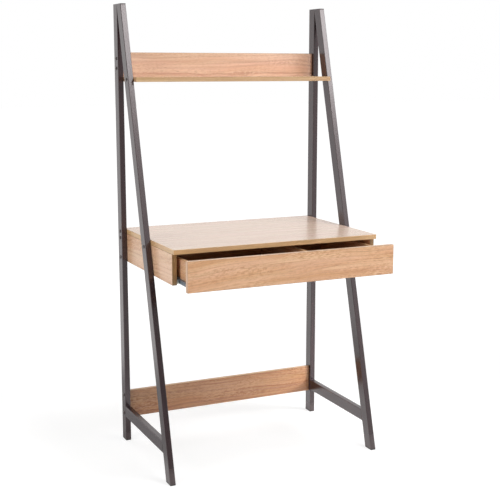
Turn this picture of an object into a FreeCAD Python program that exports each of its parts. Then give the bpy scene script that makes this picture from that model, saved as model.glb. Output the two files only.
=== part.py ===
import FreeCAD, Part
import math
import os

os.makedirs("parts", exist_ok=True)

# Ladder desk: two A-shaped tube frames carry a desk box with one drawer, a shelf and two back boards.
# X runs along the desk, Y to the rear, Z up. The origin is on the floor below the middle of the desk,
# with its drawer as it stands here, pulled partly open. Lengths are in millimetres.

# Side frames
desk_width = 750.0  # over the outer faces of the two frames
desk_height = 1495.0
foot_reach = 480.0  # rear of the rear post to the front of the front foot
tube_width = 19.0  # along the desk
tube_depth = 38.0
tube_wall = 1.5
tube_corner = 2.0
apex_contact = 10.0  # height over which the front post's top lies against the rear post
top_plate_thickness = 3.0
rail_bottom = 87.0

# Plastic plugs in the lower ends of the posts
foot_flange = 4.0
foot_edge = 1.0
foot_stem = 22.0
foot_stem_wall = 2.0
foot_play = 0.2  # between a plug's fins and the tube
foot_fins = 3
foot_fin = 1.5  # height of a fin, and how far it stands out

# Boards
board = 15.0
board_edge = 0.5  # chamfer of a board's edges
board_play = 0.5  # between a board's end and the post beside it
worktop_top = 750.0
worktop_depth = 485.0
box_height = 97.0  # side panels and back panel below the worktop
strip_height = 95.0  # back boards and drawer front
lower_board_bottom = 82.0
shelf_drop = 235.0  # from the top of the frames to the shelf's top
shelf_overhang = 25.0  # shelf in front of the front posts, at its own height

# Frame bolts, screwed into threaded inserts in the boards' ends
bolt_radius = 2.95
bolt_hole_play = 0.3
bolt_length = 30.0
bolt_head_radius = 5.5
bolt_head_height = 2.8
bolt_head_edge = 1.0
bolt_socket_flats = 4.0
bolt_socket_depth = 1.8
insert_radius = 5.0
insert_length = 12.0
insert_play = 0.05  # between a bolt and its insert
fit_play = 0.05  # between a fitting and its hole in a board
bolt_margin = 15.0  # from a panel's upper and lower edge to its bolts at the rear post
upper_bolt_drop = 20.0  # from the upper back board's top to its first bolt
upper_bolt_pitch = 32.0
front_bolt_drop = 8.0  # from the side panel's top to its bolt at the front post

# Drawer
drawer_open = 108.0
front_gap = 2.0  # between the drawer front and the worktop
front_reveal = 1.5  # each end of the drawer front inside the desk box's side
drawer_board = 12.0
drawer_side_height = 78.0
drawer_rear_room = 45.0  # behind the closed drawer, in front of the back panel
bottom_sheet = 3.0
groove_depth = 5.0
groove_play = 0.1
groove_margin = 1.2  # between the groove and the screws below it
divider_centre = 85.0  # to the right of the desk's middle

# Runners of folded sheet, with a roller at the front of the fixed part and at the rear of the moving one
slide_space = 12.5  # between desk side panel and drawer side
runner_sheet = 1.2
runner_bend = 0.4  # inner radius of the folds
runner_setback = 3.0  # behind the front edge of what carries the runner
runner_tail = 7.0  # from the moving runner's rear end to the drawer's rear
runner_overlap = 100.0  # length that stays inside the fixed runner when the drawer is fully open
runner_lift = 1.0  # moving runner above the desk box's lower edge
runner_gap = 1.6  # between a flange's edge and the sheet opposite
carry_inset = 1.0  # from the flange below the drawer side to the side's inner face
channel_play = 0.5  # above the moving roller
roller_radius = 8.0
roller_edge = 0.5
roller_play = 0.3
roller_lift = 0.5  # fixed roller's lowest point above the moving runner's
roller_hub = 4.5
roller_recess = 0.8
roller_rim = 1.2
roller_inset = 10.0  # a roller's middle from its runner's end
flange_stop = 2.0  # between a roller and the flange cut back for it
pin_radius = 2.4
pin_play = 0.08
pin_head_radius = 3.6
pin_head = 0.7
pin_head_edge = 0.3
pin_side_play = 0.3
head_clearance = 1.3  # between a pin's head and the screw heads opposite
stop_tab_height = 1.5
stop_play = 0.3
tab_clearance = 0.9  # between the stop tab and the moving runner

# Cam fittings: the cam sits in one board's face, its bolt is screwed into the other board
cam_radius = 7.4
cam_reach = 24.0  # from the joint to the cam's middle
cam_rest = 3.0  # board left behind the cam
cam_slot = 1.6
cam_slot_length = 9.0
cam_slot_depth = 1.6
cam_bolt_radius = 2.5
cam_bolt_head = 3.4
cam_bolt_grip = 11.0
cam_bore = 3.9
cam_margin = 70.0  # from a side panel's end to its cam
fixing_margin = 16.0  # from the drawer side's top and from its groove to a fitting

# Wooden dowels between the worktop and the side panels
dowel_radius = 4.0
dowel_length = 30.0
dowel_in_worktop = 10.0
dowel_from_cam = 45.0

# Screws
screw_radius = 1.9
screw_head_radius = 3.8
screw_head_height = 2.2
screw_cross = 0.9
screw_cross_length = 3.6
screw_cross_depth = 0.8
screw_length = 35.0
shelf_screw_margin = 95.0  # from the shelf's end to its first screw
wafer_radius = 3.4
wafer_head = 1.1
wafer_length = 10.0
runner_screw_front = 45.0  # from a runner's front end to its first screw
runner_screw_rear = 70.0  # from its rear end to the last one

# How far a cutting shape reaches past what it cuts
over = 1.0

# Places worked out from the sizes above
rear = (worktop_depth + drawer_open) / 2
inner_half = desk_width / 2 - tube_width
board_half = inner_half - board_play
rear_post_front = rear - tube_depth
foot_front = rear - foot_reach
plate_bottom = desk_height - top_plate_thickness
tube_run = foot_reach - tube_depth
tube_rise = desk_height - apex_contact
lean = math.acos(tube_depth / math.hypot(tube_run, tube_rise)) - math.atan2(tube_rise, tube_run)
rail_top = rail_bottom + tube_depth

box_top = worktop_top - board
box_bottom = box_top - box_height
box_front = rear - worktop_depth + board
panel_inner = board_half - board
shelf_top = desk_height - shelf_drop
shelf_bottom = shelf_top - board
rear_bolt_y = rear - tube_depth / 2
thin_board_front = rear_bolt_y - board / 2
thin_board_rear = thin_board_front + board

drawer_side_length = worktop_depth - 2 * board - drawer_rear_room
drawer_front_face = rear - worktop_depth - drawer_open
drawer_front_back = drawer_front_face + board
drawer_front_top = box_top - front_gap
drawer_half = panel_inner - slide_space
drawer_inner = drawer_half - drawer_board
moving_low = box_bottom + runner_lift
drawer_low = moving_low + runner_sheet
drawer_high = drawer_low + drawer_side_height
drawer_rear = drawer_front_back + drawer_side_length
drawer_back_face = drawer_rear - drawer_board
sheet_low = moving_low + wafer_length + groove_margin
sheet_high = sheet_low + bottom_sheet
fixing_heights = (sheet_high + fixing_margin, drawer_high - fixing_margin)

runner_length = drawer_side_length - runner_setback - runner_tail
drawer_travel = runner_length - runner_overlap
flange_reach = slide_space - runner_sheet - runner_gap
room_for_rollers = slide_space - 2 * runner_sheet - wafer_head - head_clearance
roller_width = room_for_rollers - 2 * pin_side_play - pin_head
ride_low = moving_low + roller_lift + 2 * roller_radius + roller_play
ride_high = ride_low + runner_sheet
channel_ceiling = ride_high + tab_clearance + stop_tab_height
channel_high = channel_ceiling + runner_sheet
track_top = channel_ceiling - channel_play - 2 * roller_radius - roller_play
channel_low = track_top - runner_sheet
fixed_front = box_front + runner_setback
fixed_rear = fixed_front + runner_length
moving_front = drawer_front_back + runner_setback
moving_rear = moving_front + runner_length
fixed_roller_y = fixed_front + roller_inset
fixed_roller_z = ride_low - roller_play - roller_radius
moving_roller_y = moving_rear - roller_inset
moving_roller_z = track_top + roller_play + roller_radius
full_open_roller_y = moving_roller_y - (drawer_travel - drawer_open)
last_screw = runner_length - runner_screw_rear
runner_screws = (runner_screw_front, (runner_screw_front + last_screw) / 2, last_screw)

X = FreeCAD.Vector(1, 0, 0)
Y = FreeCAD.Vector(0, 1, 0)
Z = FreeCAD.Vector(0, 0, 1)
sides = {"left": -1, "right": 1}
parts = {}


def point(x, y, z):
    return FreeCAD.Vector(x, y, z)


def box(x, y, z):
    low = point(min(x), min(y), min(z))
    return Part.makeBox(max(x) - min(x), max(y) - min(y), max(z) - min(z), low)


def rod(radius, start, direction, length):
    return Part.makeCylinder(radius, length, start, direction)


def prism(corners, along):
    return Part.Face(Part.makePolygon(corners + corners[:1])).extrude(along)


def edges_along(shape, axis):
    found = []
    for edge in shape.Edges:
        ends = edge.Vertexes
        if len(ends) == 2:
            span = ends[1].Point.sub(ends[0].Point)
            if span.cross(axis).Length < 1e-6 * span.Length:
                found.append(edge)
    return found


def end_rim(rounded, end):
    # The circular edges of a turned piece that lie around one point of its axis.
    return [edge for edge in rounded.Edges if edge.Closed and edge.CenterOfMass.isEqual(end, 1e-6)]


def panel(x, y, z):
    slab = box(x, y, z)
    return slab.makeChamfer(board_edge, slab.Edges)


def add(name, *solids):
    parts.setdefault(name, []).extend(solids)


def cut_from(name, tool):
    parts[name] = [solid.cut(tool) for solid in parts[name]]


# Side frames


def front_face_y(z):
    return foot_front + z * math.tan(lean)


def front_post_middle(z):
    return front_face_y(z) + tube_depth / 2 / math.cos(lean)


def post_bar(inset, angle, low, high):
    # Outline of a post, smaller by the inset all round, leaning back by the angle and cut level
    # at two heights. Its full outline meets the floor with the front face at y = 0.
    width = tube_width - 2 * inset
    depth = tube_depth - 2 * inset
    length = (high + 2 * tube_depth) / math.cos(angle)
    bar = Part.makeBox(width, depth, length + tube_depth, point(-width / 2, inset, -tube_depth))
    if inset < tube_corner:
        bar = bar.makeFillet(tube_corner - inset, edges_along(bar, Z))
    bar.rotate(point(0, 0, 0), X, -math.degrees(angle))
    return bar.common(box((-tube_width, tube_width), (-desk_height, desk_height), (low, high)))


def post(angle, foot_y):
    inside = post_bar(tube_wall, angle, foot_flange - over, plate_bottom + over)
    tube = post_bar(0, angle, foot_flange, plate_bottom).cut(inside)
    tube.translate(Y * foot_y)
    return tube


def foot_plug(angle, foot_y):
    # A flange as large as the tube, and a hollow stem with fins that grip the tube's inside.
    flange = post_bar(0, angle, 0, foot_flange)
    plug = flange.makeChamfer(foot_edge, [edge for edge in flange.Edges if edge.BoundBox.ZMax < 1e-6])
    fin_inset = tube_wall + foot_play
    stem_inset = fin_inset + foot_fin
    stem_top = foot_flange + foot_stem
    plug = plug.fuse(post_bar(stem_inset, angle, foot_flange, stem_top))
    pitch = foot_stem / foot_fins
    for i in range(foot_fins):
        fin_low = foot_flange + (i + 0.5) * pitch - foot_fin / 2
        plug = plug.fuse(post_bar(fin_inset, angle, fin_low, fin_low + foot_fin))
    plug = plug.cut(post_bar(stem_inset + foot_stem_wall, angle, foot_flange, stem_top + over))
    plug = plug.removeSplitter()
    plug.translate(Y * foot_y)
    return plug


def side_rail():
    half = tube_width / 2
    outer = box((-half, half), (foot_front, rear_post_front), (rail_bottom, rail_top))
    outer = outer.makeFillet(tube_corner, edges_along(outer, Y))
    half -= tube_wall
    hollow_y = (foot_front - over, rear_post_front + over)
    inner = box((-half, half), hollow_y, (rail_bottom + tube_wall, rail_top - tube_wall))
    inner = inner.makeFillet(tube_corner - tube_wall, edges_along(inner, Y))
    ahead = box((-tube_width, tube_width), (-foot_reach, tube_depth), (-tube_depth, desk_height))
    ahead.rotate(point(0, 0, 0), X, -math.degrees(lean))
    ahead.translate(Y * foot_front)
    return outer.cut(inner).cut(ahead)


def top_plate():
    x = (-tube_width / 2, tube_width / 2)
    plate = box(x, (front_face_y(plate_bottom), rear), (plate_bottom, desk_height))
    return plate.makeFillet(tube_corner, edges_along(plate, Z))


def build_frames():
    in_front = box((-tube_width, tube_width), (rear - desk_height, rear_post_front), (-over, desk_height))
    pieces = {
        "rear_post": post(0, rear_post_front),
        "front_post": post(lean, foot_front).common(in_front),
        "side_rail": side_rail(),
        "top_plate": top_plate(),
        "rear_foot": foot_plug(0, rear_post_front),
        "front_foot": foot_plug(lean, foot_front),
    }
    for side, sign in sides.items():
        for name, piece in pieces.items():
            copy = piece.copy()
            copy.translate(X * (sign * (desk_width - tube_width) / 2))
            add(f"{name}_{side}", copy)


# Boards of the frame and the desk box


def build_boards():
    across = (-board_half, board_half)
    thin = (thin_board_front, thin_board_rear)
    shelf_front = front_face_y(shelf_top) - shelf_overhang
    add("worktop", panel(across, (rear - worktop_depth, rear), (box_top, worktop_top)))
    add("shelf", panel(across, (shelf_front, thin_board_front), (shelf_bottom, shelf_top)))
    add("upper_back_board", panel(across, thin, (shelf_bottom, shelf_bottom + strip_height)))
    add("lower_back_board", panel(across, thin, (lower_board_bottom, lower_board_bottom + strip_height)))
    add("desk_back_panel", panel((-panel_inner, panel_inner), (rear - board, rear), (box_bottom, box_top)))
    for side, sign in sides.items():
        x = (sign * panel_inner, sign * board_half)
        add(f"desk_side_{side}", panel(x, (box_front, rear), (box_bottom, box_top)))


# Frame bolts and their inserts


def bolt_stations(side):
    # The post and the board that each bolt joins, with its place on the post.
    desk_side = f"desk_side_{side}"
    shelf_z = shelf_top - board / 2
    front_z = box_top - front_bolt_drop
    upper_z = shelf_bottom + strip_height - upper_bolt_drop
    rear_bolts = [
        ("upper_back_board", upper_z),
        ("upper_back_board", upper_z - upper_bolt_pitch),
        ("worktop", worktop_top - board / 2),
        (desk_side, box_top - bolt_margin),
        (desk_side, box_bottom + bolt_margin),
        ("lower_back_board", lower_board_bottom + strip_height - bolt_margin),
        ("lower_back_board", lower_board_bottom + bolt_margin),
    ]
    stations = [("rear_post", name, rear_bolt_y, z) for name, z in rear_bolts]
    stations.append(("front_post", "shelf", front_post_middle(shelf_z), shelf_z))
    stations.append(("front_post", desk_side, front_post_middle(front_z), front_z))
    return stations


def hexagon(flats, start, direction, length):
    radius = flats / math.sqrt(3)
    turns = [math.radians(60 * i) for i in range(6)]
    socket = prism([point(radius * math.cos(a), radius * math.sin(a), 0) for a in turns], Z * length)
    socket.Placement = FreeCAD.Placement(start, FreeCAD.Rotation(Z, direction))
    return socket


def frame_bolt(start, inward):
    # start is where the head meets the tube.
    top = start - inward * bolt_head_height
    head = rod(bolt_head_radius, top, inward, bolt_head_height)
    head = head.makeChamfer(bolt_head_edge, end_rim(head, top))
    bolt = head.fuse(rod(bolt_radius, start, inward, bolt_length))
    depth = bolt_socket_depth + over
    return bolt.cut(hexagon(bolt_socket_flats, top - inward * over, inward, depth))


def build_bolts():
    for side, sign in sides.items():
        inward = X * -sign
        for post_name, board_name, y, z in bolt_stations(side):
            outside = point(sign * desk_width / 2, y, z)
            board_end = point(sign * board_half, y, z)
            add("frame_bolts", frame_bolt(outside, inward))
            thread = rod(bolt_radius + insert_play, board_end, inward, insert_length)
            add("threaded_inserts", rod(insert_radius, board_end, inward, insert_length).cut(thread))
            seat = rod(insert_radius + fit_play, board_end, inward, insert_length + fit_play)
            cut_from(board_name, seat)
            cut_from(f"{post_name}_{side}", rod(bolt_radius + bolt_hole_play, outside, inward, tube_width))


# Cam fittings, dowels and screws


def cam_bolt(joint, into, play):
    # From its grip in the mating board, through the joint, to its head in the cam.
    grip = cam_bolt_grip + play
    shank = rod(cam_bolt_radius + play, joint - into * grip, into, grip + cam_reach - cam_bolt_head)
    head = rod(cam_bolt_head, joint + into * (cam_reach - cam_bolt_head), into, cam_bolt_head)
    return shank.fuse(head)


def cross(surface, direction, up, length, width, depth):
    # Two crossed slots that go into a head from its surface.
    across = direction.cross(up)
    shape = None
    for along, wide in ((up * length, across * width), (across * length, up * width)):
        corner = surface - along / 2 - wide / 2 - direction * over
        corners = [corner, corner + along, corner + along + wide, corner + wide]
        slot = prism(corners, direction * (depth + over))
        shape = slot if shape is None else shape.fuse(slot)
    return shape


def cam_fitting(kind, mate, carrier, joint, into, face, thickness):
    # joint is at mid-thickness of the carrier, into points along it, and face out of the cam's side.
    middle = joint + into * cam_reach
    surface = middle + face * (thickness / 2)
    depth = thickness - cam_rest
    cam = rod(cam_radius, surface, -face, depth)
    cam = cam.cut(rod(cam_bore, middle - into * cam_radius, into, cam_radius + cam_bolt_head))
    cam = cam.cut(cross(surface, -face, into, cam_slot_length, cam_slot, cam_slot_depth))
    add(f"{kind}_cams", cam)
    add(f"{kind}_cam_bolts", cam_bolt(joint, into, 0))
    cut_from(carrier, rod(cam_radius + fit_play, surface, -face, depth + fit_play))
    cut_from(carrier, rod(cam_bore, joint, into, cam_reach))
    cut_from(mate, cam_bolt(joint, into, fit_play))


def countersunk(start, direction, play):
    cone = Part.makeCone(screw_head_radius + play, screw_radius + play, screw_head_height, start, direction)
    return cone.fuse(rod(screw_radius + play, start, direction, screw_length + play))


def wood_screw(name, boards, start, direction, up):
    # start is the middle of the head's flat face.
    recess = cross(start, direction, up, screw_cross_length, screw_cross, screw_cross_depth)
    add(name, countersunk(start, direction, 0).cut(recess))
    for board_name in boards:
        cut_from(board_name, countersunk(start, direction, fit_play))


def wafer_screw(name, pieces, start, direction, up):
    # start is on the sheet's surface, under the flat head.
    top = start - direction * wafer_head
    screw = rod(wafer_radius, top, direction, wafer_head)
    screw = screw.fuse(rod(screw_radius, start, direction, wafer_length))
    recess = cross(top, direction, up, screw_cross_length, screw_cross, screw_cross_depth)
    add(name, screw.cut(recess))
    for piece in pieces:
        cut_from(piece, rod(screw_radius + fit_play, start, direction, wafer_length + fit_play))


def build_box_fittings():
    cams = (box_front + cam_margin, rear - cam_margin)
    dowels = (cams[0] + dowel_from_cam, cams[1] - dowel_from_cam)
    for side, sign in sides.items():
        inward = X * -sign
        middle_x = sign * (board_half - board / 2)
        desk_side = f"desk_side_{side}"
        for y in cams:
            cam_fitting("desk", "worktop", desk_side, point(middle_x, y, box_top), -Z, inward, board)
        joint = point(sign * panel_inner, rear - board / 2, (box_top + box_bottom) / 2)
        cam_fitting("desk", desk_side, "desk_back_panel", joint, inward, -Y, board)
        for y in dowels:
            low = point(middle_x, y, box_top + dowel_in_worktop - dowel_length)
            add("dowels", rod(dowel_radius, low, Z, dowel_length))
            hole = rod(dowel_radius + fit_play, low - Z * fit_play, Z, dowel_length + 2 * fit_play)
            cut_from("worktop", hole)
            cut_from(desk_side, hole)
    outer_screw = board_half - shelf_screw_margin
    for x in (-outer_screw, 0, outer_screw):
        start = point(x, thin_board_rear, shelf_top - board / 2)
        wood_screw("shelf_screws", ("upper_back_board", "shelf"), start, -Y, Z)


# Drawer


def build_drawer():
    front_half = board_half - front_reveal
    front_y = (drawer_front_face, drawer_front_back)
    front_z = (drawer_front_top - strip_height, drawer_front_top)
    height = (drawer_low, drawer_high)
    add("drawer_front", panel((-front_half, front_half), front_y, front_z))
    for side, sign in sides.items():
        x = (sign * drawer_inner, sign * drawer_half)
        add(f"drawer_side_{side}", panel(x, (drawer_front_back, drawer_rear), height))
    add("drawer_back", panel((-drawer_inner, drawer_inner), (drawer_back_face, drawer_rear), height))

    reach = groove_depth - groove_play
    sheet_x = drawer_inner + reach
    sheet_y = (drawer_front_back - reach, drawer_back_face + reach)
    add("drawer_bottom", box((-sheet_x, sheet_x), sheet_y, (sheet_low, sheet_high)))
    groove_x = drawer_inner + groove_depth
    groove_y = (drawer_front_back - groove_depth, drawer_back_face + groove_depth)
    groove = box((-groove_x, groove_x), groove_y, (sheet_low - groove_play, sheet_high + groove_play))
    for name in ("drawer_front", "drawer_side_left", "drawer_side_right", "drawer_back"):
        cut_from(name, groove)

    divider_x = (divider_centre - drawer_board / 2, divider_centre + drawer_board / 2)
    divider_z = (sheet_high, drawer_high)
    add("drawer_divider", panel(divider_x, (drawer_front_back - reach, drawer_back_face), divider_z))
    housing_x = (divider_x[0] - groove_play, divider_x[1] + groove_play)
    cut_from("drawer_front", box(housing_x, (drawer_front_back - groove_depth, drawer_front_back), divider_z))


def build_drawer_fittings():
    for side, sign in sides.items():
        inward = X * -sign
        drawer_side = f"drawer_side_{side}"
        middle_x = sign * (drawer_half - drawer_board / 2)
        for z in fixing_heights:
            joint = point(middle_x, drawer_front_back, z)
            cam_fitting("drawer", "drawer_front", drawer_side, joint, Y, inward, drawer_board)
            start = point(sign * drawer_half, drawer_rear - drawer_board / 2, z)
            wood_screw("drawer_screws", (drawer_side, "drawer_back"), start, inward, Z)
    for z in fixing_heights:
        start = point(divider_centre, drawer_rear, z)
        wood_screw("drawer_screws", ("drawer_back", "drawer_divider"), start, -Y, Z)


# Runners


def folded_sheet(outline, inner_folds, outer_folds, front, rear_end):
    # outline is the section's points, as (x, z), extruded along Y; the folds are then rounded.
    sheet = prism([point(x, front, z) for x, z in outline], Y * (rear_end - front))
    for folds, radius in ((inner_folds, runner_bend), (outer_folds, runner_bend + runner_sheet)):
        chosen = []
        for edge in edges_along(sheet, Y):
            middle = edge.CenterOfMass
            if any(math.hypot(middle.x - x, middle.z - z) < 1e-6 for x, z in folds):
                chosen.append(edge)
        sheet = sheet.makeFillet(radius, chosen)
    return sheet


def fixed_runner(sign):
    # A channel on the side panel, open towards the drawer, with a tab that stops the moving roller.
    wall = sign * panel_inner
    web = wall - sign * runner_sheet
    edge = wall - sign * flange_reach
    outline = [
        (wall, channel_low),
        (edge, channel_low),
        (edge, track_top),
        (web, track_top),
        (web, channel_ceiling),
        (edge, channel_ceiling),
        (edge, channel_high),
        (wall, channel_high),
    ]
    inner_folds = [(web, track_top), (web, channel_ceiling)]
    outer_folds = [(wall, channel_low), (wall, channel_high)]
    runner = folded_sheet(outline, inner_folds, outer_folds, fixed_front, fixed_rear)
    flange_x = (web, edge - sign * over)
    cut_back = (fixed_front - over, fixed_roller_y + roller_radius + flange_stop)
    runner = runner.cut(box(flange_x, cut_back, (channel_low - over, track_top + runner_bend)))
    tab_low = channel_ceiling - stop_tab_height
    reach = math.sqrt(roller_radius**2 - (tab_low - moving_roller_z) ** 2)
    tab_y = full_open_roller_y - reach - stop_play
    tab = box((web, edge), (tab_y - runner_sheet, tab_y), (tab_low, channel_ceiling))
    return runner.fuse(tab).removeSplitter()


def moving_runner(sign):
    # A Z-shaped strip: its lower flange carries the drawer side, its upper one rides on the fixed roller.
    face = sign * drawer_half
    web = face + sign * runner_sheet
    edge = face + sign * flange_reach
    carry_edge = face - sign * (drawer_board - carry_inset)
    carry_high = moving_low + runner_sheet
    outline = [
        (carry_edge, moving_low),
        (web, moving_low),
        (web, ride_low),
        (edge, ride_low),
        (edge, ride_high),
        (face, ride_high),
        (face, carry_high),
        (carry_edge, carry_high),
    ]
    outer_folds = [(web, moving_low), (face, ride_high)]
    runner = folded_sheet(outline, [(web, ride_low)], outer_folds, moving_front, moving_rear)
    cut_back = (moving_roller_y - roller_radius - flange_stop, moving_rear + over)
    flange_x = (web, edge + sign * over)
    return runner.cut(box(flange_x, cut_back, (ride_low - runner_bend, ride_high + over)))


def roller(start, direction):
    # start is the middle of one face; both faces are dished around the hub.
    end = start + direction * roller_width
    wheel = rod(roller_radius, start, direction, roller_width)
    wheel = wheel.makeChamfer(roller_edge, end_rim(wheel, start) + end_rim(wheel, end))
    for face, inward in ((start, direction), (end, -direction)):
        dish = rod(roller_radius - roller_rim, face, inward, roller_recess)
        wheel = wheel.cut(dish.cut(rod(roller_hub, face, inward, roller_recess)))
    return wheel.cut(rod(pin_radius + pin_play, start, direction, roller_width))


def roller_pin(web_back, direction):
    # A rivet through the runner's web and the roller, with a flat head beyond it.
    reach = runner_sheet + pin_side_play + roller_width + pin_side_play
    head = web_back + direction * reach
    top = head + direction * pin_head
    cap = rod(pin_head_radius, head, direction, pin_head)
    cap = cap.makeChamfer(pin_head_edge, end_rim(cap, top))
    return rod(pin_radius, web_back, direction, reach).fuse(cap)


def hang_roller(kind, side, web_back, direction):
    runner = f"{kind}_runner_{side}"
    add(f"{kind}_roller_{side}", roller(web_back + direction * (runner_sheet + pin_side_play), direction))
    add(f"{kind}_roller_pins", roller_pin(web_back, direction))
    cut_from(runner, rod(pin_radius + fit_play, web_back, direction, runner_sheet))


def build_runners():
    for side, sign in sides.items():
        inward = X * -sign
        wall = sign * panel_inner
        face = sign * drawer_half
        add(f"fixed_runner_{side}", fixed_runner(sign))
        add(f"moving_runner_{side}", moving_runner(sign))
        hang_roller("fixed", side, point(wall, fixed_roller_y, fixed_roller_z), inward)
        hang_roller("moving", side, point(face, moving_roller_y, moving_roller_z), -inward)
        web_x = wall - sign * runner_sheet
        web_z = (channel_low + channel_high) / 2
        carry_x = face - sign * drawer_board / 2
        on_panel = (f"fixed_runner_{side}", f"desk_side_{side}")
        on_drawer = (f"moving_runner_{side}", f"drawer_side_{side}")
        for place in runner_screws:
            start = point(web_x, fixed_front + place, web_z)
            wafer_screw("fixed_runner_screws", on_panel, start, -inward, Z)
            start = point(carry_x, moving_front + place, moving_low)
            wafer_screw("moving_runner_screws", on_drawer, start, Z, Y)


build_frames()
build_boards()
build_bolts()
build_box_fittings()
build_drawer()
build_drawer_fittings()
build_runners()

for name, solids in parts.items():
    shape = solids[0] if len(solids) == 1 else Part.makeCompound(solids)
    shape.exportStep(f"parts/{name}.step")
    volume = sum(solid.Volume for solid in solids) / 1000
    print(f"{name}: {len(solids)} solid(s), {volume:.1f} cm3, valid {shape.isValid()}")
print(f"{len(parts)} nodes; front posts lean {math.degrees(lean):.2f} degrees; travel {drawer_travel:.0f} mm")
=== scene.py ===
from math import cos, pi, radians, tan

import bmesh
import bpy
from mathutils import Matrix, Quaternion, Vector


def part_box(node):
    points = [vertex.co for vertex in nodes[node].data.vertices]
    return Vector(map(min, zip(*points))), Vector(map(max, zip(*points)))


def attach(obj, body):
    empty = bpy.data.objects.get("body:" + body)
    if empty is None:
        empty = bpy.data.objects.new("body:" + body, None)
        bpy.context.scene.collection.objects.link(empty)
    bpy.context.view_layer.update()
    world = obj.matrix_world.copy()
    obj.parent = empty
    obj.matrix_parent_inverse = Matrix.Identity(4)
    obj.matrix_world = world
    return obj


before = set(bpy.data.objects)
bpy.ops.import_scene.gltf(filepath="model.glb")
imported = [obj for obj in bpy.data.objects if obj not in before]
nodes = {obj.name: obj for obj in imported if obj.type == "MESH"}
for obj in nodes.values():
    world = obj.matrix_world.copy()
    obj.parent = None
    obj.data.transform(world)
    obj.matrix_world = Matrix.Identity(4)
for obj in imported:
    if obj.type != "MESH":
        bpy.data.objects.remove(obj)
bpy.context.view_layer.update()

scene = bpy.context.scene
print("frame loaded:", len(nodes), "nodes")


# small helpers for node trees

def addNode(tree, kind, **settings):
    node = tree.nodes.new("ShaderNode" + kind)
    count = len(tree.nodes)
    node.location = (200 * (count % 12), -230 * (count // 12))
    for name, value in settings.items():
        setattr(node, name, value)
    return node


def feed(tree, socket, value):
    if isinstance(value, bpy.types.NodeSocket):
        tree.links.new(value, socket)
    else:
        socket.default_value = value


def calc(tree, operation, *values, clamp=False):
    node = addNode(tree, "Math", operation=operation, use_clamp=clamp)
    for socket, value in zip(node.inputs, values):
        feed(tree, socket, value)
    return node.outputs[0]


def vectorCalc(tree, operation, *values):
    node = addNode(tree, "VectorMath", operation=operation)
    for socket, value in zip(node.inputs, values):
        feed(tree, socket, value)
    return node.outputs["Value" if operation in ("LENGTH", "DOT_PRODUCT") else "Vector"]


def split(tree, vector):
    node = addNode(tree, "SeparateXYZ")
    feed(tree, node.inputs[0], vector)
    return node.outputs


def join(tree, x, y, z):
    node = addNode(tree, "CombineXYZ")
    for socket, value in zip(node.inputs, (x, y, z)):
        feed(tree, socket, value)
    return node.outputs[0]


def noise(tree, vector, stretch, detail=2.0, rough=0.5):  # stretch is how often it repeats per metre on each axis
    node = addNode(tree, "TexNoise")
    feed(tree, node.inputs["Vector"], vectorCalc(tree, "MULTIPLY", vector, stretch))
    node.inputs["Scale"].default_value = 1.0
    node.inputs["Detail"].default_value = detail
    node.inputs["Roughness"].default_value = rough
    return node.outputs[0]


def ramp(tree, value, low, high, start=0.0, end=1.0):
    node = addNode(tree, "MapRange", interpolation_type="SMOOTHSTEP")
    for name, number in (("Value", value), ("From Min", low), ("From Max", high), ("To Min", start), ("To Max", end)):
        feed(tree, node.inputs[name], number)
    return node.outputs[0]


def blend(tree, factor, first, second, mode="MIX"):
    node = addNode(tree, "Mix", data_type="RGBA", blend_type=mode, clamp_factor=True)
    for index, value in ((0, factor), (6, first), (7, second)):
        feed(tree, node.inputs[index], value)
    return node.outputs[2]


def color(code):  # a hex colour, as the colour picker shows it
    parts = [int(code[i:i + 2], 16) / 255 for i in (0, 2, 4)]
    return tuple(p / 12.92 if p <= 0.04045 else ((p + 0.055) / 1.055) ** 2.4 for p in parts) + (1.0,)


def grey(amount):
    return (amount, amount, amount, 1.0)


def makeGroup(name, inputs, outputs):
    group = bpy.data.node_groups.new(name, "ShaderNodeTree")
    for title, kind, value in inputs:
        socket = group.interface.new_socket(title, in_out="INPUT", socket_type="NodeSocket" + kind)
        if value is not None:
            socket.default_value = value
    for title, kind in outputs:
        group.interface.new_socket(title, in_out="OUTPUT", socket_type="NodeSocket" + kind)
    return group, group.nodes.new("NodeGroupInput").outputs, group.nodes.new("NodeGroupOutput").inputs


def useGroup(tree, group, values):
    node = tree.nodes.new("ShaderNodeGroup")
    node.node_tree = group
    for title, value in values.items():
        feed(tree, node.inputs[title], value)
    return node.outputs


def objectVector(tree):
    return addNode(tree, "TexCoord").outputs["Object"]


def placedVector(tree, place, turn):  # object coordinates, seen from the middle of a piece and along its own axes
    node = addNode(tree, "Mapping", vector_type="TEXTURE")
    feed(tree, node.inputs["Vector"], objectVector(tree))
    node.inputs["Location"].default_value = place
    node.inputs["Rotation"].default_value = [radians(a) for a in turn]
    return node.outputs[0]


def newMaterial(name, values):
    material = bpy.data.materials.new(name)
    material.use_nodes = True
    tree = material.node_tree
    shader = tree.nodes["Principled BSDF"]
    for title, value in values.items():
        shader.inputs[title].default_value = value
    return material, tree, shader


def addBump(tree, shader, height, strength, distance):
    node = addNode(tree, "Bump")
    node.inputs["Strength"].default_value = strength
    node.inputs["Distance"].default_value = distance
    feed(tree, node.inputs["Height"], height)
    feed(tree, shader.inputs["Normal"], node.outputs[0])


def dress(name, material):
    mesh = nodes[name].data
    mesh.materials.clear()
    mesh.materials.append(material)


# effects that several materials share

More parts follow.
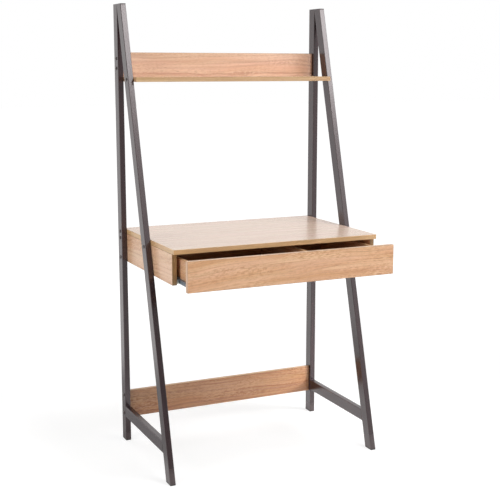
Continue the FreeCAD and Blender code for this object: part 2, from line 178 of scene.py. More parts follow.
grainRepeats = {  # times per metre along, across and through the grain
    "slow": (3.0, 13.0, 13.0), "quick": (16.0, 85.0, 85.0), "streak": (4.0, 210.0, 210.0),
    "broad": (1.6, 26.0, 26.0), "zone": (3.2, 17.0, 17.0), "mottle": (80.0, 330.0, 330.0),
    "pore": (90.0, 1700.0, 1700.0), "hue": (3.5, 55.0, 55.0),
}
grainValues = {"ringBend": 0.035, "ringRipple": 0.0035, "fibreBend": 0.02, "shadowLineRipple": 0.012,
               "poreTone": (0.55, 0.5, 0.45, 1.0), "pinkTone": (1.0, 0.945, 0.935, 1.0),
               "oliveTone": (0.962, 0.985, 0.915, 1.0), "rough": 0.24, "streakRough": 0.07, "poreRough": 0.12,
               "streakDepth": -0.35}


def buildOakGrain():
    group, given, result = makeGroup(
        "oakGrain",
        [("Vector", "Vector", None), ("Pale", "Color", None), ("Tan", "Color", None), ("Brown", "Color", None),
         ("Heart", "Vector", None), ("Lean", "Float", 0.1), ("Ring Gap", "Float", 0.008), ("Rings", "Float", 0.5),
         ("Streaks", "Float", 0.4), ("Flecks", "Float", 0.3), ("Pores", "Float", 0.5), ("Shadow Line Place", "Float", 0.0),
         ("Shadow Line Width", "Float", 0.006), ("Line", "Float", 0.0), ("Hue", "Float", 0.6)],
        [("Color", "Color"), ("Roughness", "Float"), ("Height", "Float")])
    shift = vectorCalc(group, "MULTIPLY", given["Heart"], (7.0, 5.0, 3.0))  # no two boards are alike
    vector = vectorCalc(group, "ADD", given["Vector"], shift)
    slow = calc(group, "SUBTRACT", noise(group, vector, grainRepeats["slow"]), 0.5)
    quick = calc(group, "SUBTRACT", noise(group, vector, grainRepeats["quick"], 3.0), 0.5)

    # rings of the trunk, cut by the board
    x, y, z = split(group, vectorCalc(group, "SUBTRACT", given["Vector"], given["Heart"]))
    across = calc(group, "MULTIPLY_ADD", slow, grainValues["ringBend"], y)
    depth = calc(group, "MULTIPLY_ADD", x, given["Lean"], z)
    squares = calc(group, "ADD", calc(group, "POWER", across, 2.0), calc(group, "POWER", depth, 2.0))
    radius = calc(group, "MULTIPLY_ADD", quick, grainValues["ringRipple"], calc(group, "SQRT", squares))
    ring = calc(group, "DIVIDE", radius, given["Ring Gap"])
    wave = calc(group, "MULTIPLY_ADD", calc(group, "SINE", calc(group, "MULTIPLY", ring, 2 * pi)), 0.5, 0.5)
    year = noise(group, join(group, calc(group, "MULTIPLY", x, 2.0), ring, 0.0), (1.0, 0.9, 1.0), 1.0)
    ringMask = calc(group, "MULTIPLY", calc(group, "POWER", wave, 1.6), ramp(group, year, 0.38, 0.68))

    # fibre that follows the rings, ray flecks and pores
    along = join(group, x, calc(group, "MULTIPLY_ADD", slow, grainValues["fibreBend"], radius), z)
    streak = ramp(group, noise(group, along, grainRepeats["streak"], 4.0, 0.62), 0.42, 0.68)
    broad = ramp(group, noise(group, along, grainRepeats["broad"], 3.0, 0.55), 0.34, 0.66)
    zone = ramp(group, noise(group, vector, grainRepeats["zone"], 1.0), 0.44, 0.62)
    mottle = noise(group, along, grainRepeats["mottle"], 2.0, 0.6)
    fleck = calc(group, "MULTIPLY", ramp(group, mottle, 0.5, 0.62), zone)
    shadow = calc(group, "MULTIPLY", ramp(group, mottle, 0.5, 0.36), calc(group, "MULTIPLY_ADD", zone, 0.5, 0.5))
    pore = ramp(group, noise(group, along, grainRepeats["pore"], 0.0), 0.64, 0.74)
    pore = calc(group, "MULTIPLY", pore, calc(group, "MULTIPLY_ADD", wave, 0.65, 0.35))

    # a painted shadow line along the board, at its own height, standing in for the shade where the shelf meets it
    straight = calc(group, "MULTIPLY_ADD", slow, grainValues["fibreBend"], y)
    shadowLineY = calc(group, "SUBTRACT", given["Shadow Line Place"], split(group, given["Heart"])[1])
    wavy = calc(group, "MULTIPLY_ADD", quick, grainValues["shadowLineRipple"], straight)
    offShadowLine = calc(group, "ABSOLUTE", calc(group, "SUBTRACT", wavy, shadowLineY))
    shadowLine = ramp(group, offShadowLine, 0.0, given["Shadow Line Width"], 1.0, 0.0)

    tint = blend(group, broad, given["Pale"], given["Tan"])
    dark = blend(group, 1.0, given["Brown"], grainValues["poreTone"], "MULTIPLY")
    shadowDepth = calc(group, "MULTIPLY", given["Flecks"], 0.6)
    layers = ((ringMask, given["Rings"], given["Brown"]), (streak, given["Streaks"], given["Brown"]),
              (shadowLine, given["Line"], given["Brown"]), (shadow, shadowDepth, given["Brown"]),
              (fleck, given["Flecks"], given["Pale"]), (pore, given["Pores"], dark))
    for mask, amount, tone in layers:
        tint = blend(group, calc(group, "MULTIPLY", mask, amount), tint, tone)
    hue = ramp(group, noise(group, along, grainRepeats["hue"], 3.0, 0.6), 0.36, 0.64)
    hueTint = blend(group, hue, grainValues["pinkTone"], grainValues["oliveTone"])
    feed(group, result["Color"], blend(group, given["Hue"], tint, hueTint, "MULTIPLY"))
    rough = calc(group, "MULTIPLY_ADD", pore, grainValues["poreRough"], grainValues["rough"])
    feed(group, result["Roughness"], calc(group, "MULTIPLY_ADD", streak, grainValues["streakRough"], rough))
    height = calc(group, "MULTIPLY", pore, -1.0)
    feed(group, result["Height"], calc(group, "MULTIPLY_ADD", streak, grainValues["streakDepth"], height))
    return group


def buildBoardEdges():
    group, given, result = makeGroup(
        "boardEdges",
        [("Vector", "Vector", None), ("Half Size", "Vector", None), ("Band", "Float", 0.0009),
         ("Seam", "Float", 0.00025)],
        [("Band", "Float"), ("Seam", "Float"), ("Vector", "Vector")])
    inner = vectorCalc(group, "SUBTRACT", vectorCalc(group, "ABSOLUTE", given["Vector"]), given["Half Size"])
    x, y, _ = split(group, inner)
    fromX = calc(group, "ADD", x, given["Band"])  # above nought inside the band
    fromY = calc(group, "ADD", y, given["Band"])
    depth = calc(group, "MAXIMUM", fromX, fromY)
    oldX, oldY, oldZ = split(group, given["Vector"])
    turned = addNode(group, "Mix", data_type="VECTOR")  # the band's own grain runs along each end
    feed(group, turned.inputs[0], calc(group, "GREATER_THAN", fromX, 0.0))
    feed(group, turned.inputs[4], given["Vector"])
    feed(group, turned.inputs[5], join(group, oldY, oldX, oldZ))
    feed(group, result["Band"], calc(group, "GREATER_THAN", depth, 0.0))
    feed(group, result["Seam"], calc(group, "LESS_THAN", calc(group, "ABSOLUTE", depth), given["Seam"]))
    feed(group, result["Vector"], turned.outputs[1])
    return group


coatRepeats = {  # times per metre across, through and along a tube
    "patch": (90.0, 90.0, 22.0), "mottle": (60.0, 60.0, 9.0), "speck": (260.0, 260.0, 200.0),
    "peel": (900.0, 900.0, 900.0), "grit": (3200.0, 3200.0, 3200.0),
}
coatValues = {"dimmest": 0.88, "dustAndSheen": 0.1, "rough": 0.165, "mottleRough": 0.1, "dustRough": 0.25, "grit": 0.35}


def buildSatinCoat():
    group, given, result = makeGroup(
        "satinCoat",
        [("Vector", "Vector", None), ("Half Size", "Vector", None), ("Coat", "Color", None), ("Edge Wear And Highlight", "Color", None),
         ("Dust And Sheen", "Color", None), ("Edge Width", "Float", 0.0022), ("Wear And Highlight", "Float", 0.5),
         ("Dust And Sheen Height", "Float", 0.03)],
        [("Color", "Color"), ("Roughness", "Float"), ("Height", "Float")])
    vector = given["Vector"]
    inner = vectorCalc(group, "SUBTRACT", given["Half Size"], vectorCalc(group, "ABSOLUTE", vector))
    x, y, _ = split(group, inner)
    nearX = ramp(group, x, 0.0, given["Edge Width"], 1.0, 0.0)
    nearY = ramp(group, y, 0.0, given["Edge Width"], 1.0, 0.0)
    patch = ramp(group, noise(group, vector, coatRepeats["patch"], 3.0), 0.35, 0.7)
    # the lighter long edges are partly wear and partly a painted highlight along the tube's corners
    edgeWearAndHighlight = calc(group, "MULTIPLY", calc(group, "MULTIPLY", nearX, nearY), calc(group, "MULTIPLY_ADD", patch, 0.6, 0.4))
    mottle = noise(group, vector, coatRepeats["mottle"], 3.0, 0.6)
    speck = noise(group, vector, coatRepeats["speck"], 3.0, 0.6)
    # paler towards the foot: partly dust, partly a painted sheen of light from the floor
    height = split(group, vector)[2]
    fade = ramp(group, height, calc(group, "MULTIPLY", given["Dust And Sheen Height"], 0.45), given["Dust And Sheen Height"], 1.0, 0.0)
    low = calc(group, "MULTIPLY", fade, ramp(group, speck, 0.2, 0.8, 0.45, 1.0))
    tint = blend(group, calc(group, "MULTIPLY", edgeWearAndHighlight, given["Wear And Highlight"]), given["Coat"], given["Edge Wear And Highlight"])
    shade = blend(group, ramp(group, mottle, 0.3, 0.7), grey(coatValues["dimmest"]), grey(1.0))
    tint = blend(group, 1.0, tint, shade, "MULTIPLY")
    dustAndSheenAmount = calc(group, "MULTIPLY", low, coatValues["dustAndSheen"])
    feed(group, result["Color"], blend(group, dustAndSheenAmount, tint, given["Dust And Sheen"]))
    peel = noise(group, vector, coatRepeats["peel"], 1.0)
    grit = noise(group, vector, coatRepeats["grit"], 1.0)
    feed(group, result["Height"], calc(group, "MULTIPLY_ADD", grit, coatValues["grit"], peel))
    rough = calc(group, "MULTIPLY_ADD", mottle, coatValues["mottleRough"], coatValues["rough"])
    feed(group, result["Roughness"], calc(group, "MULTIPLY_ADD", low, coatValues["dustRough"], rough))
    return group


skinValues = {"fine": (1.0, 1.0, 1.0), "cloud": (0.22, 0.22, 0.22), "fineRough": 0.2}  # repeats per speck of grain


def buildMetalSkin():
    group, given, result = makeGroup(
        "metalSkin",
        [("Vector", "Vector", None), ("Base", "Color", None), ("Stain", "Color", None), ("Grain", "Float", 400.0),
         ("Roughness", "Float", 0.35)],
        [("Color", "Color"), ("Roughness", "Float"), ("Height", "Float")])
    scaled = vectorCalc(group, "SCALE", given["Vector"])
    feed(group, scaled.node.inputs["Scale"], given["Grain"])
    fine = noise(group, scaled, skinValues["fine"], 4.0, 0.6)
    cloud = noise(group, scaled, skinValues["cloud"], 3.0, 0.6)
    feed(group, result["Color"], blend(group, ramp(group, cloud, 0.35, 0.72), given["Base"], given["Stain"]))
    feed(group, result["Roughness"], calc(group, "MULTIPLY_ADD", fine, skinValues["fineRough"], given["Roughness"]))
    feed(group, result["Height"], fine)
    return group


oakGrain = buildOakGrain()
boardEdges = buildBoardEdges()
satinCoat = buildSatinCoat()
metalSkin = buildMetalSkin()
print("node groups built")


# boards, foiled on their faces and banded round their edges

layDirections = {  # turns that bring a board's grain to X and its thickness to Z
    "flat": (0, 0, 0),
    "upright": (90, 0, 0),
    "side": (90, 0, 90),
}


def woodColors(pale, middle, brown):
    return {"Pale": color(pale), "Tan": color(middle), "Brown": color(brown)}


bandColors = {
    "plain": woodColors("DAB48A", "CFA47A", "B58C62"),
    # the desk sides' dark band tones are painted shade
    "dark": woodColors("A28057", "97764E", "7C5F3D"),
    "gold": woodColors("E6C190", "DBB180", "C09868"),
    "sand": woodColors("D2B18A", "C7A17A", "AE8A62"),
    "pale": woodColors("E2BFA0", "D6AF8E", "BE9674"),
}
bandValues = {"thickness": 0.0009, "seam": 0.0002, "seamColor": color("7C5A38"), "seamDepth": -1.2, "rough": 0.08}
bandGrain = {"heart": (0.3, 0.2, 0.15), "lean": 0.02, "gap": 0.006, "rings": 0.3, "streaks": 0.6, "flecks": 0.2,
             "pores": 0.5}
boardDefaults = {"tones": woodColors("F1C7A2", "E4AF85", "BA805A"), "sheenWash": 0.0, "shine": 0.5, "band": "plain",
                 "gap": 0.011, "streaks": 0.45, "flecks": 0.5, "pores": 0.4, "shadowLine": 0.0, "shadowLineDepth": 0.0,
                 "hue": 0.6}
boardBump = (0.35, 0.00012)  # strength and distance

# heart is where the trunk's middle lies along, across and through the board, lean is how far it tips, gap is from ring
# to ring, and sheenWash makes the tones paler, a painted sheen of light on the face
boards = {
    "worktop": {"lay": "flat", "heart": (0.25, 0.34, 0.05), "lean": 0.05, "rings": 0.4, "sheenWash": 0.42,
                "streaks": 0.75, "shine": 0.9, "hue": 0.8, "band": "gold"},
    "shelf": {"lay": "flat", "heart": (-0.10, 0.11, 0.03), "lean": 0.07, "rings": 0.35, "sheenWash": 0.15,
              "band": "sand"},
    "upper_back_board": {"lay": "upright", "heart": (0.3, -0.075, 0.02), "lean": 0.04, "rings": 0.3,
                         # the dark line on this board is a painted shadow near the shelf
                         "shadowLine": -0.0205, "shadowLineDepth": 0.7, "sheenWash": 0.2, "streaks": 0.65,
                         "tones": woodColors("F1C7A2", "E8AC84", "BC7952")},
    # this board's darker, redder tones are painted shade, for the light it loses low under the desk
    "lower_back_board": {"lay": "upright", "heart": (-0.2, 0.06, 0.03), "lean": 0.05, "rings": 0.5,
                         "streaks": 0.6, "flecks": 0.8, "tones": woodColors("C49A77", "B7825D", "884F34")},
    "desk_back_panel": {"lay": "upright", "heart": (0.1, 0.08, 0.03), "lean": 0.05, "rings": 0.5},
    "desk_side_left": {"lay": "side", "heart": (-0.3, 0.055, 0.05), "lean": 0.06, "rings": 0.45, "sheenWash": 0.06,
                       "band": "dark"},
    "desk_side_right": {"lay": "side", "heart": (0.2, -0.06, 0.04), "lean": 0.06, "rings": 0.45, "sheenWash": 0.06,
                        "band": "dark"},
    "drawer_front": {"lay": "upright", "heart": (0.16, -0.092, 0.012), "lean": -0.15, "rings": 0.45,
                     "gap": 0.0065, "flecks": 0.8, "band": "pale"},
    "drawer_back": {"lay": "upright", "heart": (-0.1, 0.06, 0.03), "lean": 0.04, "rings": 0.5},
    "drawer_divider": {"lay": "side", "heart": (0.1, -0.05, 0.03), "lean": 0.05, "rings": 0.5},
    "drawer_side_left": {"lay": "side", "heart": (0.15, 0.05, 0.03), "lean": 0.05, "rings": 0.5},
    "drawer_side_right": {"lay": "side", "heart": (-0.15, -0.05, 0.03), "lean": 0.05, "rings": 0.5},
}


def sheenWashed(colors, amount):  # the same colours, paler, for a painted sheen
    sheenWhite = color("E0E1E1")
    return {title: tuple(a + (b - a) * amount for a, b in zip(tint, sheenWhite)) for title, tint in colors.items()}


def woodGrain(tree, vector, values, colors):
    values = {**boardDefaults, **values}
    return useGroup(tree, oakGrain, {
        "Vector": vector, "Heart": values["heart"], "Lean": values["lean"], "Ring Gap": values["gap"],
        "Rings": values["rings"], "Streaks": values["streaks"], "Flecks": values["flecks"], "Pores": values["pores"],
        "Shadow Line Place": values["shadowLine"], "Line": values["shadowLineDepth"], "Hue": values["hue"], **colors})


def boardMaterial(name, values):
    values = {**boardDefaults, **values}
    low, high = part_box(name)
    size = (high - low) / 2
    half = {"flat": size, "upright": (size.x, size.z, size.y), "side": (size.y, size.z, size.x)}[values["lay"]]
    material, tree, shader = newMaterial("oakBoard_" + name, {"Specular IOR Level": values["shine"]})
    local = placedVector(tree, (low + high) / 2, layDirections[values["lay"]])
    edges = useGroup(tree, boardEdges, {"Vector": local, "Half Size": half, "Band": bandValues["thickness"],
                                        "Seam": bandValues["seam"]})
    face = woodGrain(tree, local, values, sheenWashed(values["tones"], values["sheenWash"]))
    band = woodGrain(tree, edges["Vector"], bandGrain, bandColors[values["band"]])
    tint = blend(tree, edges["Band"], face["Color"], band["Color"])
    tint = blend(tree, edges["Seam"], tint, bandValues["seamColor"])
    rough = calc(tree, "MULTIPLY_ADD", edges["Band"], bandValues["rough"], face["Roughness"])
    height = calc(tree, "MULTIPLY_ADD", edges["Seam"], bandValues["seamDepth"], face["Height"])
    feed(tree, shader.inputs["Base Color"], tint)
    feed(tree, shader.inputs["Roughness"], rough)
    addBump(tree, shader, height, *boardBump)
    return material


for name, values in boards.items():
    dress(name, boardMaterial(name, values))
print("boards done")


# the drawer's bottom: a thin hardboard sheet with foil above and bare brown fibre below

sheetValues = {"fibre": color("7A573A"), "fibreDark": color("60432B"), "foil": 0.0002, "shine": 0.4,
               "foilRough": -0.35, "fibreRough": 0.8, "felt": (700.0, 700.0, 700.0), "bump": (0.3, 0.0002)}
sheetGrain = {"heart": (0.1, 0.3, 0.1), "lean": 0.04, "gap": 0.012, "rings": 0.4, "streaks": 0.4, "flecks": 0.4}
sheetColors = woodColors("7F5A3F", "6E4B32", "543825")


def sheetMaterial(name):
    low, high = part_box(name)
    material, tree, shader = newMaterial("foiledHardboard", {"Specular IOR Level": sheetValues["shine"]})
    local = placedVector(tree, (low + high) / 2, layDirections["flat"])
    face = woodGrain(tree, local, sheetGrain, sheetColors)
    felt = noise(tree, local, sheetValues["felt"], 4.0, 0.65)
    under = blend(tree, ramp(tree, felt, 0.35, 0.65), sheetValues["fibreDark"], sheetValues["fibre"])
    foilFrom = (high.z - low.z) / 2 - sheetValues["foil"]
    isTop = calc(tree, "GREATER_THAN", split(tree, local)[2], foilFrom)
    rough = calc(tree, "MULTIPLY_ADD", isTop, sheetValues["foilRough"], sheetValues["fibreRough"])
    feed(tree, shader.inputs["Base Color"], blend(tree, isTop, under, face["Color"]))
    feed(tree, shader.inputs["Roughness"], rough)
    addBump(tree, shader, felt, *sheetValues["bump"])
    return material


dress("drawer_bottom", sheetMaterial("drawer_bottom"))


# powder-coated tubes

coatColors = {"Coat": color("352125"), "Edge Wear And Highlight": color("766B68"), "Dust And Sheen": color("A39B97")}
frameValues = {"tubeX": 0.3655, "rearY": 0.2775, "rearFace": 0.2585, "frontFace": -0.1835, "lean": 15.17,
               "halfWidth": 0.0095, "halfDepth": 0.019, "railLow": 0.087, "railMiddle": 0.106, "railHigh": 0.125}
tubeValues = {"wearAndHighlight": 0.55, "rearDustAndSheen": 0.04, "frontDustAndSheen": 0.06, "noDustNorSheen": 0.0001, "bump": (0.25, 0.00008),
              "endless": 4.0}  # endless is a half length past both ends, so that only the long edges get the wear and painted highlight
sides = {"left": -frameValues["tubeX"], "right": frameValues["tubeX"]}
halfSlant = frameValues["halfDepth"] / cos(radians(frameValues["lean"]))  # half the front tube's depth, cut level


def tubeMaterial(name, place, turn, half, dustAndSheenHeight):
    material, tree, shader = newMaterial("satinCoat_" + name, {"Metallic": 0.2, "Specular IOR Level": 1.0})
    coat = useGroup(tree, satinCoat, {"Vector": placedVector(tree, place, turn), "Half Size": half,
                                      "Dust And Sheen Height": dustAndSheenHeight, "Wear And Highlight": tubeValues["wearAndHighlight"], **coatColors})
    feed(tree, shader.inputs["Base Color"], coat["Color"])
    feed(tree, shader.inputs["Roughness"], coat["Roughness"])
    addBump(tree, shader, coat["Height"], *tubeValues["bump"])
    return material


def dressTubes(side, x):  # the rail is measured from a metre in front of it, away from the dust and painted sheen at the feet
    tube = (frameValues["halfWidth"], frameValues["halfDepth"], tubeValues["endless"])
    low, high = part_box("top_plate_" + side)
    size = (high - low) / 2
    plate = (size.x, size.y, tubeValues["endless"])
    frontY = frameValues["frontFace"] + halfSlant
    tubes = {
        "rear_post_": ((x, frameValues["rearY"], 0), (0, 0, 0), tube, tubeValues["rearDustAndSheen"]),
        "front_post_": ((x, frontY, 0), (-frameValues["lean"], 0, 0), tube, tubeValues["frontDustAndSheen"]),
        "side_rail_": ((x, -1, frameValues["railMiddle"]), (-90, 0, 0), tube, tubeValues["noDustNorSheen"]),
        "top_plate_": ((x, low.y + size.y, 0), (0, 0, 0), plate, tubeValues["noDustNorSheen"]),
    }
    for start, values in tubes.items():
        dress(start + side, tubeMaterial(start + side, *values))


for side, x in sides.items():
    dressTubes(side, x)
print("tubes done")


# weld beads where the rail and the posts meet

beadValues = {"radius": 0.0023, "length": 0.0172, "rings": 11, "ripple": 0.80, "end": 0.45, "out": 0.0009,
              "sides": 12}


def makeBead(place):
    bpy.ops.object.select_all(action="DESELECT")
    bpy.ops.mesh.primitive_cylinder_add(vertices=beadValues["sides"], radius=beadValues["radius"],
                                        depth=beadValues["length"], location=place, rotation=(0, radians(90), 0))
    bead = bpy.context.active_object
    bpy.ops.object.transform_apply(location=True, rotation=True, scale=True)
    start = place[0] - beadValues["length"] / 2
    step = beadValues["length"] / (beadValues["rings"] + 1)
    bpy.ops.object.mode_set(mode="EDIT")
    for i in range(1, beadValues["rings"] + 1):
        bpy.ops.mesh.select_all(action="SELECT")
        bpy.ops.mesh.bisect(plane_co=(start + i * step, 0, 0), plane_no=(1, 0, 0))
    for i in range(beadValues["rings"] + 2):
        at = start + i * step
        mesh = bmesh.from_edit_mesh(bead.data)
        for vertex in mesh.verts:
            vertex.select_set(abs(vertex.co.x - at) < step / 4)
        mesh.select_flush_mode()
        bmesh.update_edit_mesh(bead.data)
        isEnd = i in (0, beadValues["rings"] + 1)
        size = beadValues["end"] if isEnd else (beadValues["ripple"] if i % 2 else 1.0)
        bpy.ops.transform.resize(value=(1, size, size), center_override=(at, place[1], place[2]))
    bpy.ops.mesh.select_all(action="SELECT")
    bpy.ops.mesh.normals_make_consistent(inside=False)
    bpy.ops.object.mode_set(mode="OBJECT")
    bpy.ops.object.shade_smooth()
    return bead


def makeWelds(side, x):
    material = tubeMaterial("weld_beads_" + side, (x, 0, 0), (0, 0, 0), (1.0, 1.0, 1.0), tubeValues["noDustNorSheen"])
    out = beadValues["out"]
    slope = tan(radians(frameValues["lean"]))
    places = []
    for z, way in ((frameValues["railHigh"], 1), (frameValues["railLow"], -1)):
        places.append((x, frameValues["rearFace"] - out, z + way * out))
        places.append((x, frameValues["frontFace"] + z * slope + 2 * halfSlant + out, z + way * out))
    beads = [makeBead(place) for place in places]
    bpy.ops.object.select_all(action="DESELECT")
    for bead in beads:
        bead.select_set(True)
    bpy.context.view_layer.objects.active = beads[0]
    bpy.ops.object.join()
    welds = bpy.context.active_object
    welds.name = "weld_beads_" + side
    welds.data.name = welds.name
    bpy.ops.object.transform_apply(location=True, rotation=True, scale=True)
    welds.data.materials.append(material)
    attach(welds, "frame")


for side, x in sides.items():
    makeWelds(side, x)
print("welds done")


# plastic feet and rollers, coated runners, fasteners

def plainMaterial(name, values):
    material, tree, shader = newMaterial(name, values["shader"])
    skin = useGroup(tree, metalSkin, {"Vector": objectVector(tree), "Base": values["base"], "Stain": values["stain"],
                                      "Grain": values["grain"], "Roughness": values["rough"]})
    feed(tree, shader.inputs["Base Color"], skin["Color"])
    feed(tree, shader.inputs["Roughness"], skin["Roughness"])
    addBump(tree, shader, skin["Height"], *values["bump"])
    return material


finishes = {
    "footPlastic": {"shader": {"Specular IOR Level": 0.4}, "base": color("3D3A39"), "stain": color("4B4745"),
                    "grain": 1500.0, "rough": 0.5, "bump": (0.35, 0.0001),
                    "nodes": ["rear_foot_left", "rear_foot_right", "front_foot_left", "front_foot_right"]},
    "frameBolts": {"shader": {"Metallic": 0.7}, "base": color("77726F"), "stain": color("8B8582"),
                   "grain": 900.0, "rough": 0.3, "bump": (0.15, 0.0001), "nodes": ["frame_bolts"]},
    "zincSteel": {"shader": {"Metallic": 1.0}, "base": color("C6C6C3"), "stain": color("A9AAA6"),
                  "grain": 700.0, "rough": 0.25, "bump": (0.12, 0.0001),
                  "nodes": ["threaded_inserts", "desk_cam_bolts", "drawer_cam_bolts", "shelf_screws", "drawer_screws",
                            "fixed_runner_screws", "moving_runner_screws", "fixed_roller_pins", "moving_roller_pins"]},
    "castCams": {"shader": {"Metallic": 0.9}, "base": color("B9B9BC"), "stain": color("97979B"),
                 "grain": 1100.0, "rough": 0.42, "bump": (0.4, 0.0001), "nodes": ["desk_cams", "drawer_cams"]},
    "beechDowels": {"shader": {"Specular IOR Level": 0.3}, "base": color("DDC29A"), "stain": color("CBA97C"),
                    "grain": 500.0, "rough": 0.6, "bump": (0.4, 0.0001), "nodes": ["dowels"]},
}
for finish, values in finishes.items():
    material = plainMaterial(finish, values)
    for name in values["nodes"]:
        dress(name, material)


runnerValues = {"coat": color("737D88"), "coatDark": color("626B75"), "bare": color("A6AAAE"), "grain": 800.0,
                "rough": 0.32, "bareRough": -0.15, "bump": (0.2, 0.00008), "fixedTrack": 0.6426,
                "movingTrack": 0.6558, "trackDepth": (0.0003, 0.0008), "trackWidth": (0.0022, 0.0034),
                "scratches": (2600.0, 9.0, 2600.0)}


def runnerMaterial(name, trackHeight):  # the coat is rubbed bare where a roller has run
    low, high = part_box(name)
    material, tree, shader = newMaterial("runnerCoat_" + name, {"Metallic": 0.15, "Specular IOR Level": 0.6})
    local = placedVector(tree, ((low.x + high.x) / 2, (low.y + high.y) / 2, trackHeight), (0, 0, 0))
    skin = useGroup(tree, metalSkin, {"Vector": local, "Base": runnerValues["coat"],
                                      "Stain": runnerValues["coatDark"], "Grain": runnerValues["grain"],
                                      "Roughness": runnerValues["rough"]})
    x, _, z = split(tree, local)
    nearTrack = ramp(tree, calc(tree, "ABSOLUTE", z), *runnerValues["trackDepth"], 1.0, 0.0)
    nearMiddle = ramp(tree, calc(tree, "ABSOLUTE", x), *runnerValues["trackWidth"], 1.0, 0.0)
    scratch = ramp(tree, noise(tree, local, runnerValues["scratches"], 2.0), 0.4, 0.62)
    rubbed = calc(tree, "MULTIPLY", calc(tree, "MULTIPLY", nearTrack, nearMiddle), scratch)
    feed(tree, shader.inputs["Base Color"], blend(tree, rubbed, skin["Color"], runnerValues["bare"]))
    rough = calc(tree, "MULTIPLY_ADD", rubbed, runnerValues["bareRough"], skin["Roughness"])
    feed(tree, shader.inputs["Roughness"], rough)
    addBump(tree, shader, skin["Height"], *runnerValues["bump"])
    return material


for side in sides:
    dress("fixed_runner_" + side, runnerMaterial("fixed_runner_" + side, runnerValues["fixedTrack"]))
    dress("moving_runner_" + side, runnerMaterial("moving_runner_" + side, runnerValues["movingTrack"]))


rollerValues = {"nylon": color("E9E8E1"), "grime": color("A8A49A"), "radius": 0.008, "rim": 0.0012,
                "clouds": (900.0, 500.0, 500.0), "rough": 0.38, "grimeRough": 0.25, "bump": (0.15, 0.0001)}


def rollerMaterial(name):
    low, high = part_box(name)
    material, tree, shader = newMaterial("nylon_" + name, {"Specular IOR Level": 0.5, "Subsurface Weight": 0.08})
    local = placedVector(tree, (low + high) / 2, (0, 0, 0))
    _, y, z = split(tree, local)
    radius = vectorCalc(tree, "LENGTH", join(tree, 0.0, y, z))
    worn = ramp(tree, radius, rollerValues["radius"] - rollerValues["rim"], rollerValues["radius"])
    cloud = noise(tree, local, rollerValues["clouds"], 3.0, 0.6)
    grime = calc(tree, "MULTIPLY", worn, ramp(tree, cloud, 0.35, 0.65))
    feed(tree, shader.inputs["Base Color"], blend(tree, grime, rollerValues["nylon"], rollerValues["grime"]))
    rough = calc(tree, "MULTIPLY_ADD", grime, rollerValues["grimeRough"], rollerValues["rough"])
    feed(tree, shader.inputs["Roughness"], rough)
    addBump(tree, shader, cloud, *rollerValues["bump"])
    return material


for kind in ("fixed", "moving"):
    for side in sides:
        name = kind + "_roller_" + side
        dress(name, rollerMaterial(name))
print("fittings done")


# floor, light and camera

roomValues = {"side": 0.875, "middle": 0.897, "dim": 0.06, "horizon": (0.11, 0.17), "horizonX": (0.25, 0.45),
              "horizonLight": (0.4, 0.74)}


def raySeen(tree):  # one for what the camera, a reflection or clear glass sees
    path = addNode(tree, "LightPath").outputs
    seen = calc(tree, "MAXIMUM", path["Is Camera Ray"], path["Is Glossy Ray"])
    return calc(tree, "MAXIMUM", seen, path["Is Transmission Ray"])


def frontShade(tree, vector):  # reflections see a dim room straight in front of the desk, with a lit horizon
    way = vectorCalc(tree, "NORMALIZE", vector)
    x, _, z = split(tree, way)
    toFront = vectorCalc(tree, "DOT_PRODUCT", way, (0, -1, 0))
    room = ramp(tree, toFront, roomValues["side"], roomValues["middle"], 1.0, roomValues["dim"])
    horizonLight = ramp(tree, x, *roomValues["horizonX"], *roomValues["horizonLight"])
    horizon = ramp(tree, z, *roomValues["horizon"], horizonLight, 0.0)
    return calc(tree, "MAXIMUM", room, horizon)


floorValues = {"size": 60.0, "drop": 0.0003, "bounce": 0.78, "seen": 0.34, "mirrored": 0.35, "reach": (1.3, 3.2),
               "glow": (0.76, 1.0)}
mirroredFloor = {"acrossX": (-0.35, -0.1), "acrossY": (-0.15, 0.15), "frontLeft": 0.82, "backLeft": 0.3,
                 "right": 0.96, "farReach": (0.75, 1.6), "farGlow": 0.95}


def floorInReflections(tree, vector, distance):  # dimmer at the back left, where the desk shades the floor
    x, y, _ = split(tree, vector)
    left = ramp(tree, y, *mirroredFloor["acrossY"], mirroredFloor["frontLeft"], mirroredFloor["backLeft"])
    near = ramp(tree, x, *mirroredFloor["acrossX"], left, mirroredFloor["right"])
    far = ramp(tree, distance, *mirroredFloor["farReach"], 0.0, mirroredFloor["farGlow"])
    return calc(tree, "MAXIMUM", near, far)


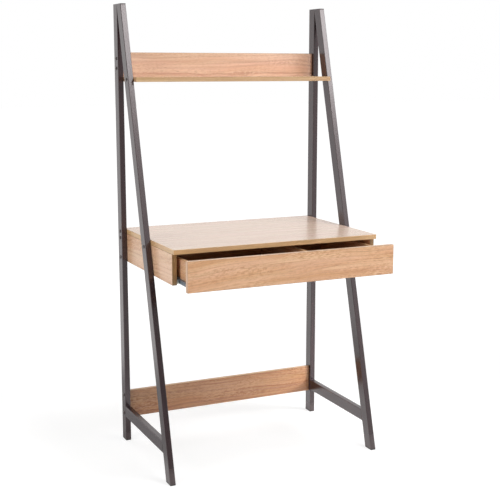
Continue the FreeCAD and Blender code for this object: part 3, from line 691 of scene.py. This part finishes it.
def makeFloor():
    bpy.ops.object.select_all(action="DESELECT")
    bpy.ops.mesh.primitive_plane_add(size=floorValues["size"], location=(0, 0, -floorValues["drop"]))
    floor = bpy.context.active_object
    floor.name = "studio_floor"
    material = bpy.data.materials.new("paleFloor")
    material.use_nodes = True
    tree = material.node_tree
    tree.nodes.clear()
    vector = objectVector(tree)
    distance = vectorCalc(tree, "LENGTH", vector)
    seen = raySeen(tree)
    isGlossy = addNode(tree, "LightPath").outputs["Is Glossy Ray"]
    diffuse = addNode(tree, "BsdfDiffuse")
    shown = blend(tree, seen, grey(floorValues["bounce"]), grey(floorValues["seen"]))
    feed(tree, diffuse.inputs["Color"], blend(tree, isGlossy, shown, grey(floorValues["mirrored"])))
    emission = addNode(tree, "Emission")
    glow = ramp(tree, distance, *floorValues["reach"], *floorValues["glow"])
    straight = calc(tree, "SUBTRACT", seen, isGlossy, clamp=True)
    mirrored = calc(tree, "MULTIPLY", frontShade(tree, vector), floorInReflections(tree, vector, distance))
    glossyGlow = calc(tree, "MULTIPLY", isGlossy, mirrored)
    feed(tree, emission.inputs["Strength"], calc(tree, "MULTIPLY_ADD", straight, glow, glossyGlow))
    both = addNode(tree, "AddShader")
    tree.links.new(diffuse.outputs[0], both.inputs[0])
    tree.links.new(emission.outputs[0], both.inputs[1])
    tree.links.new(both.outputs[0], addNode(tree, "OutputMaterial").inputs["Surface"])
    floor.data.materials.append(material)


worldValues = {"fill": 0.22, "cardX": (0.1, 0.5), "cardZ": (0.26, 0.34), "cardFront": (0.5, 0.7), "cardLight": 1.5}


def cardGlow(tree, vector):  # a pale card below the front lamp, only in reflections
    x, y, z = split(tree, vectorCalc(tree, "NORMALIZE", vector))
    glow = calc(tree, "MULTIPLY", ramp(tree, x, *worldValues["cardX"]), ramp(tree, z, *worldValues["cardZ"]))
    toFront = calc(tree, "MULTIPLY", y, -1.0)
    return calc(tree, "MULTIPLY", glow, ramp(tree, toFront, *worldValues["cardFront"], 0.0, worldValues["cardLight"]))


def makeWorld():
    world = bpy.data.worlds.new("studio")
    scene.world = world
    world.use_nodes = True
    tree = world.node_tree
    background = tree.nodes["Background"]
    background.inputs["Color"].default_value = (1, 1, 1, 1)
    vector = addNode(tree, "TexCoord").outputs["Generated"]
    isGlossy = addNode(tree, "LightPath").outputs["Is Glossy Ray"]
    strength = calc(tree, "MULTIPLY_ADD", raySeen(tree), 1 - worldValues["fill"], worldValues["fill"])
    lost = calc(tree, "SUBTRACT", calc(tree, "SUBTRACT", 1.0, frontShade(tree, vector)), cardGlow(tree, vector))
    dimmed = calc(tree, "MULTIPLY", isGlossy, lost)
    feed(tree, background.inputs["Strength"], calc(tree, "SUBTRACT", strength, dimmed))


lamps = {
    "high_softbox": {"place": (0.87, -1.33, 3.8), "aim": (0, 0, 1.0), "size": (0.7, 0.7), "watts": 40},
    "front_softbox": {"place": (1.55, -2.4, 3.17), "aim": (0, 0.1, 1.2), "size": (2.4, 1.0), "watts": 41,
                      "roll": -20},
    "left_softbox": {"place": (-3.2, -0.8, 1.6), "aim": (0, 0, 0.8), "size": (2.2, 2.2), "watts": 46,
                     "glossy": False},
    "right_softbox": {"place": (2.6, -2.6, 1.6), "aim": (0, 0, 0.8), "size": (1.6, 1.6), "watts": 33,
                      "glossy": False},
    "right_card": {"place": (1.0, -0.25, 0.45), "aim": (0.38, 0.27, 0.13), "size": (0.4, 0.3), "watts": 1.0,
                   "glossy": False, "spread": 50},
    "back_softbox": {"place": (-0.8, 2.9, 2.4), "aim": (0, 0, 0.9), "size": (2.2, 2.2), "watts": 40,
                     "glossy": False},
}


def makeLamp(name, values):
    light = bpy.data.lights.new(name, "AREA")
    light.shape = "RECTANGLE"
    light.size, light.size_y = values["size"]
    light.energy = values["watts"]
    light.spread = radians(values.get("spread", 180))
    lamp = bpy.data.objects.new(name, light)
    scene.collection.objects.link(lamp)
    lamp.location = values["place"]
    toAim = (Vector(values["aim"]) - Vector(values["place"])).to_track_quat("-Z", "Y")
    lamp.rotation_euler = (toAim @ Quaternion((0, 0, 1), radians(values.get("roll", 0)))).to_euler()
    lamp.visible_camera = False
    lamp.visible_glossy = values.get("glossy", True)


cameraValues = {"place": (-1.42107, -3.03379, 1.28996), "pitch": -10.089, "yaw": -24.859, "lens": 73.75,
                "sensor": 36.0, "reach": 200.0}


def makeCamera():
    data = bpy.data.cameras.new("camera")
    data.sensor_width = cameraValues["sensor"]
    data.lens = cameraValues["lens"]
    data.clip_end = cameraValues["reach"]
    camera = bpy.data.objects.new("camera", data)
    scene.collection.objects.link(camera)
    camera.location = cameraValues["place"]
    camera.rotation_euler = (radians(90 + cameraValues["pitch"]), 0, radians(cameraValues["yaw"]))
    scene.camera = camera


makeFloor()
makeWorld()
for name, values in lamps.items():
    makeLamp(name, values)
makeCamera()
scene.view_settings.view_transform = "Standard"
print("studio done")
